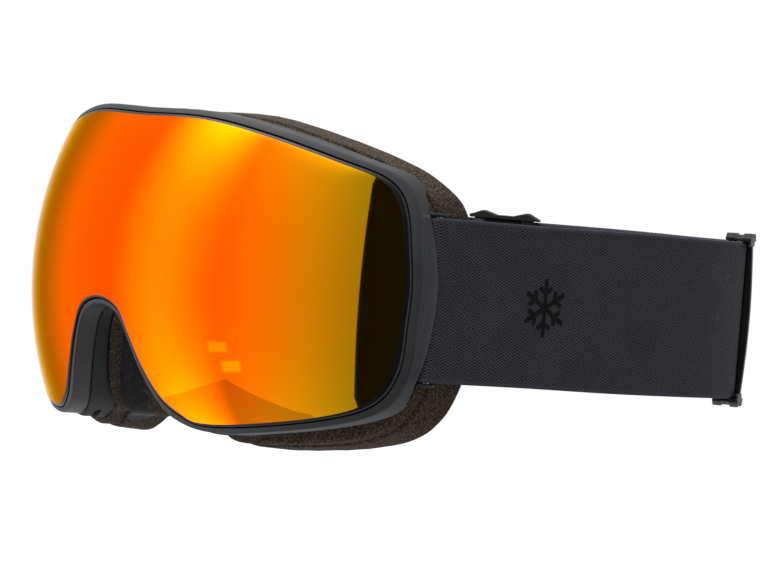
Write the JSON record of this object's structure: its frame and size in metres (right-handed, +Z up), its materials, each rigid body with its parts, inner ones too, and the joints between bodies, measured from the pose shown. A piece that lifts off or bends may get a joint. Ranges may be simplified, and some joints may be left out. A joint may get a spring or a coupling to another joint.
{
  "type": "ski goggles",
  "caption": "Ski goggles with a magnetic spherical mirror lens, a soft frame, a foam face seal and an elastic head strap with sliders.",
  "frame": {"origin": "middle of the face seal's main contact surface, between the eyes", "axes": "+Y towards the wearer's face and the back of the strap, -Y out through the lens, +Z up, +X to the right for someone who looks at the lens"},
  "size_m": [0.1804, 0.2223, 0.0961],
  "materials": {
    "mirror_lens": "red to gold multilayer mirror on a polycarbonate lens",
    "inner_lens": "clear acetate with an anti-fog coat",
    "lens_foam": "closed-cell foam tape",
    "carrier_plastic": "black nylon, smooth",
    "magnet": "nickel-plated neodymium",
    "seat_plastic": "charcoal nylon with a fine spark-eroded grain",
    "frame_tpu": "matt thermoplastic polyurethane",
    "vent_foam": "open filter foam",
    "bar_steel": "drawn steel wire",
    "face_foam": "brown-grey open-cell polyurethane foam",
    "fleece": "black microfleece",
    "strap_elastic": "charcoal woven elastic",
    "slider_plastic": "black acetal, satin",
    "silicone": "printed silicone",
    "emblem_print": "flat black transfer print"
  },
  "bodies": {
    "goggles": {"lens_seat": "seat_plastic", "frame_magnets": "magnet", "frame": "frame_tpu", "vent_foam_top": "vent_foam", "vent_foam_bottom": "vent_foam", "outrigger_right": "seat_plastic", "outrigger_left": "seat_plastic", "strap_bar_right": "bar_steel", "strap_bar_left": "bar_steel", "base_foam": "face_foam", "face_foam": "face_foam", "face_fleece": "fleece", "strap_side_right": "strap_elastic", "strap_side_left": "strap_elastic", "strap_rear": "strap_elastic", "strap_return_right": "strap_elastic", "strap_return_left": "strap_elastic", "strap_grip": "silicone", "strap_emblem": "emblem_print"},
    "lens": {"outer_lens": "mirror_lens", "lens_spacer": "lens_foam", "inner_lens": "inner_lens", "lens_carrier": "carrier_plastic", "lens_magnets": "magnet"},
    "slider_right": {"slider_right": "slider_plastic", "strap_end_right": "strap_elastic"},
    "slider_left": {"slider_left": "slider_plastic", "strap_end_left": "strap_elastic"}
  },
  "joints": [
    {"name": "lens_release", "type": "slide", "parent": "goggles", "child": "lens", "axis": [0, -1, 0], "range_m": [0, 0.03]},
    {"name": "slider_right_travel", "type": "hinge", "parent": "goggles", "child": "slider_right", "pos_m": [0, 0.0995, 0], "axis": [0, 0, 1], "range_deg": [-20, 30], "deforming": ["strap_return_right"]},
    {"name": "slider_left_travel", "type": "hinge", "parent": "goggles", "child": "slider_left", "pos_m": [0, 0.0995, 0], "axis": [0, 0, -1], "range_deg": [-20, 30], "deforming": ["strap_return_left"]}
  ]
}
